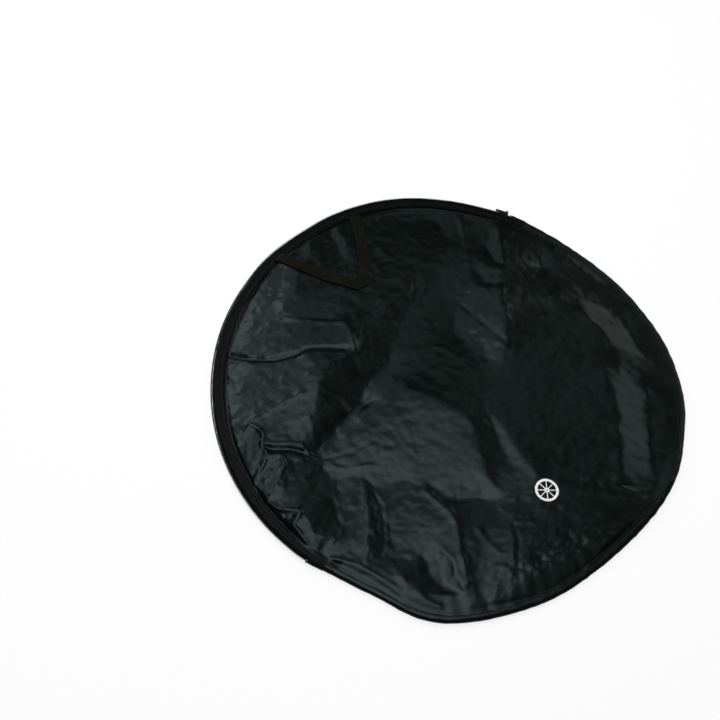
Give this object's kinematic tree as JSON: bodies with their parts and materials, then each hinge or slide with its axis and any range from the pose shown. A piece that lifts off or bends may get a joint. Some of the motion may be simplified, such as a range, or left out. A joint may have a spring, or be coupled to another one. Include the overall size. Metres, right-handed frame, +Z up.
{
  "type": "bicycle wheel bag",
  "caption": "Round flat zipped fabric bag for one bicycle wheel, lying empty, with a front that folds open and a webbing handle.",
  "frame": {"origin": "centre of the round bag on the surface it lies on", "axes": "+Z up out of the front panel, through the bag's thickness; +Y to the side that lies farthest away in the picture, near the zip's closed end; +X to the right in the picture"},
  "size_m": [0.7791, 0.7824, 0.0278],
  "materials": {
    "coated_nylon": "thin woven nylon with a satin coating, black with a slight green-grey tone",
    "zip_tape": "matt black woven tape",
    "zip_coil": "black nylon coil",
    "zip_metal": "dark grey enamelled zinc",
    "webbing": "flat woven webbing, brownish black"
  },
  "bodies": {
    "bag": {"back_panel": "coated_nylon", "front_panel_lower": "coated_nylon", "edge_gusset_left": "coated_nylon", "edge_gusset_near": "coated_nylon", "edge_gusset_right": "coated_nylon", "zip_tape_back": "zip_tape", "zip_tape_front_start": "zip_tape", "zip_tape_front_end": "zip_tape", "zip_coil_back": "zip_coil", "zip_coil_front_start": "zip_coil", "zip_coil_front_end": "zip_coil", "zip_stop_start": "zip_metal", "zip_stop_end": "zip_metal", "zip_end_tab_start": "coated_nylon", "zip_end_tab_end": "coated_nylon", "seam_binding_back": "zip_tape", "seam_binding_front_lower": "zip_tape"},
    "flap": {"front_panel_flap": "coated_nylon", "zip_tape_front": "zip_tape", "zip_coil_front": "zip_coil", "seam_binding_front_flap": "zip_tape", "handle_end_left": "webbing", "handle_end_right": "webbing"},
    "handle": {"carry_handle": "webbing"},
    "slider": {"slider_body": "zip_metal"},
    "tab": {"pull_tab": "zip_metal"}
  },
  "joints": [
    {"name": "flap_open", "type": "hinge", "parent": "bag", "child": "flap", "pos_m": [-0.07557, 0.02455, 0.0215], "axis": [0.309, 0.9511, 0], "range_deg": [0, 140]},
    {"name": "zip_slide", "type": "hinge", "parent": "bag", "child": "slider", "pos_m": [0, 0, 0.0088], "axis": [0, 0, 1], "range_deg": [0, 159.5]},
    {"name": "tab_flip", "type": "hinge", "parent": "slider", "child": "tab", "pos_m": [0.05853, 0.38906, 0.0088], "axis": [0, 0, -1], "range_deg": [0, 160]},
    {"name": "handle_swing", "type": "hinge", "parent": "flap", "child": "handle", "pos_m": [-0.26318, 0.23284, 0.01714], "axis": [-0.6626, -0.749, 0], "range_deg": [0, 170]}
  ]
}
